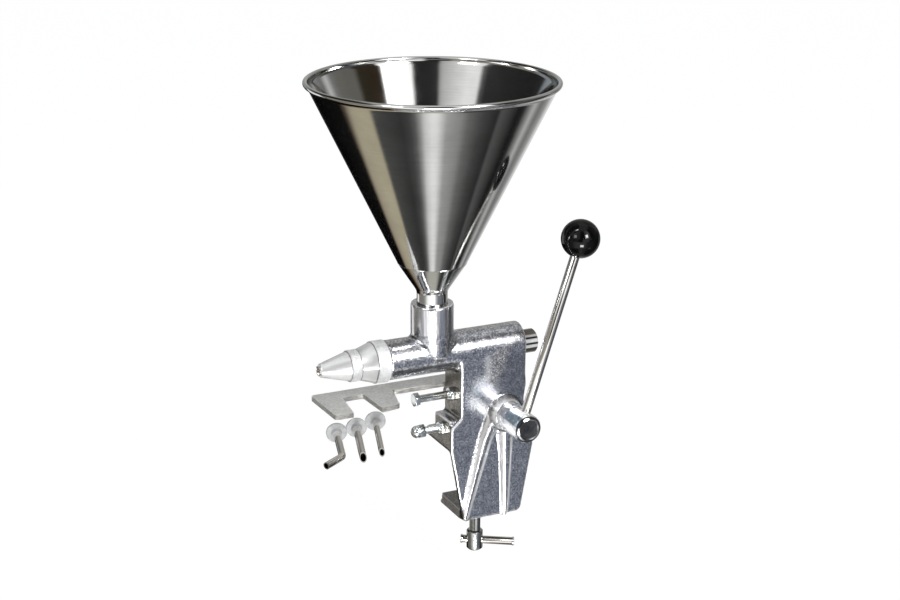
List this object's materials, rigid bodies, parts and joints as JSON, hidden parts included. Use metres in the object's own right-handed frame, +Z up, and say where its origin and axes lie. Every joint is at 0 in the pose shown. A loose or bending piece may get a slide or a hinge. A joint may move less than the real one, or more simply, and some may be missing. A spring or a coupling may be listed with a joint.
{
  "type": "pastry filling machine",
  "caption": "Hand-operated pastry filler: conical steel hopper on a table-clamped cast body with lever-driven piston pump, threaded nozzle, support fork and loose filling tubes",
  "frame": {"origin": "On the table seat (underside of the upper clamp jaw), in the middle plane of the barrel, at the clamp screw's place along the barrel", "axes": "+Z up along the hopper's axis, -X along the barrel towards the nozzle, -Y towards the side with the lever"},
  "size_m": [0.2838, 0.2538, 0.5176],
  "materials": {
    "cast_body": "tumbled and polished casting",
    "fork_casting": "matt casting",
    "polished_stainless": "mirror polished sheet",
    "turned_aluminium": "finely turned",
    "polished_steel": "ground and polished",
    "bright_steel": "polished",
    "zinc_steel": "zinc plated",
    "dark_steel": "blackened",
    "plain_steel": "machined",
    "bearing_bronze": "plain bearing bronze",
    "seal_white": "food-grade white seal",
    "knob_black": "glossy",
    "cap_black": "semi-gloss"
  },
  "bodies": {
    "machine_body": {"main_casting": "cast_body", "front_bush": "bearing_bronze", "rear_bush": "bearing_bronze", "hopper_gasket": "seal_white", "upper_lock_nut": "zinc_steel", "lower_lock_nut": "zinc_steel", "support_fork": "fork_casting", "fork_screws": "dark_steel"},
    "hopper": {"hopper_cone": "polished_stainless", "hopper_funnel": "polished_stainless"},
    "piston_group": {"piston": "polished_steel", "piston_pin": "plain_steel", "piston_seals": "seal_white"},
    "nut_group": {"union_nut": "turned_aluminium", "nozzle_gasket": "seal_white"},
    "nozzle_group": {"nozzle": "turned_aluminium", "outlet_tube": "polished_steel"},
    "lever": {"lever_shaft": "plain_steel", "shaft_ring": "dark_steel", "drive_arm": "plain_steel", "arm_key": "plain_steel", "arm_set_screw": "dark_steel", "lever_hub": "bright_steel", "hub_set_screws": "dark_steel", "hub_cap": "cap_black", "lever_rod": "polished_steel", "ball_knob": "knob_black"},
    "upper_stop": {"upper_stop_bolt": "zinc_steel"},
    "lower_stop": {"lower_stop_stud": "zinc_steel", "acorn_nut": "zinc_steel"},
    "clamp_pad": {"pressure_pad": "plain_steel"},
    "clamp_spindle": {"clamp_screw": "polished_steel"},
    "tommy": {"tommy_bar": "polished_steel"},
    "bent_tube": {"bent_filling_tube": "polished_steel", "bent_tube_flange": "bright_steel"},
    "large_tube": {"large_filling_tube": "polished_steel", "large_tube_flange": "bright_steel"},
    "small_tube": {"small_filling_tube": "polished_steel", "small_tube_flange": "bright_steel"}
  },
  "joints": [
    {"name": "lever_swing", "type": "hinge", "parent": "machine_body", "child": "lever", "pos_m": [0.019, 0, 0.036], "axis": [0, -1, 0], "range_deg": [0, 24.5]},
    {"name": "piston_slide", "type": "slide", "parent": "machine_body", "child": "piston_group", "axis": [-1, 0, 0], "range_m": [0, 0.02919]},
    {"name": "hopper_lift", "type": "slide", "parent": "machine_body", "child": "hopper", "axis": [0, 0, 1], "range_m": [0, 0.06]},
    {"name": "nut_unscrew", "type": "slide", "parent": "machine_body", "child": "nut_group", "axis": [-1, 0, 0], "range_m": [0, 0.04]},
    {"name": "nozzle_unscrew", "type": "slide", "parent": "nut_group", "child": "nozzle_group", "axis": [-1, 0, 0], "range_m": [0, 0.03]},
    {"name": "upper_stop_adjust", "type": "slide", "parent": "machine_body", "child": "upper_stop", "axis": [-1, 0, 0], "range_m": [0, 0.012]},
    {"name": "lower_stop_adjust", "type": "slide", "parent": "machine_body", "child": "lower_stop", "axis": [-1, 0, 0], "range_m": [0, 0.012]},
    {"name": "pad_travel", "type": "slide", "parent": "machine_body", "child": "clamp_pad", "axis": [0, 0, 1], "range_m": [-0.0235, 0.0245]},
    {"name": "clamp_turn", "type": "hinge", "parent": "clamp_pad", "child": "clamp_spindle", "pos_m": [0, 0.008, -0.1], "axis": [0, 0, 1], "range_deg": [-4834, 5040]},
    {"name": "tommy_slide", "type": "slide", "parent": "clamp_spindle", "child": "tommy", "axis": [0.8499, -0.527, 0], "range_m": [-0.0313, 0.0038]},
    {"name": "bent_tube_lift", "type": "slide", "parent": "machine_body", "child": "bent_tube", "axis": [0, 0, 1], "range_m": [0, 0.02]},
    {"name": "large_tube_lift", "type": "slide", "parent": "machine_body", "child": "large_tube", "axis": [0, 0, 1], "range_m": [0, 0.02]},
    {"name": "small_tube_lift", "type": "slide", "parent": "machine_body", "child": "small_tube", "axis": [0, 0, 1], "range_m": [0, 0.02]}
  ],
  "couplings": [
    {"joint": "piston_slide", "follows": "lever_swing", "m_per_rad": 0.068243},
    {"joint": "pad_travel", "follows": "clamp_turn", "m_per_rad": 0.00027852}
  ]
}
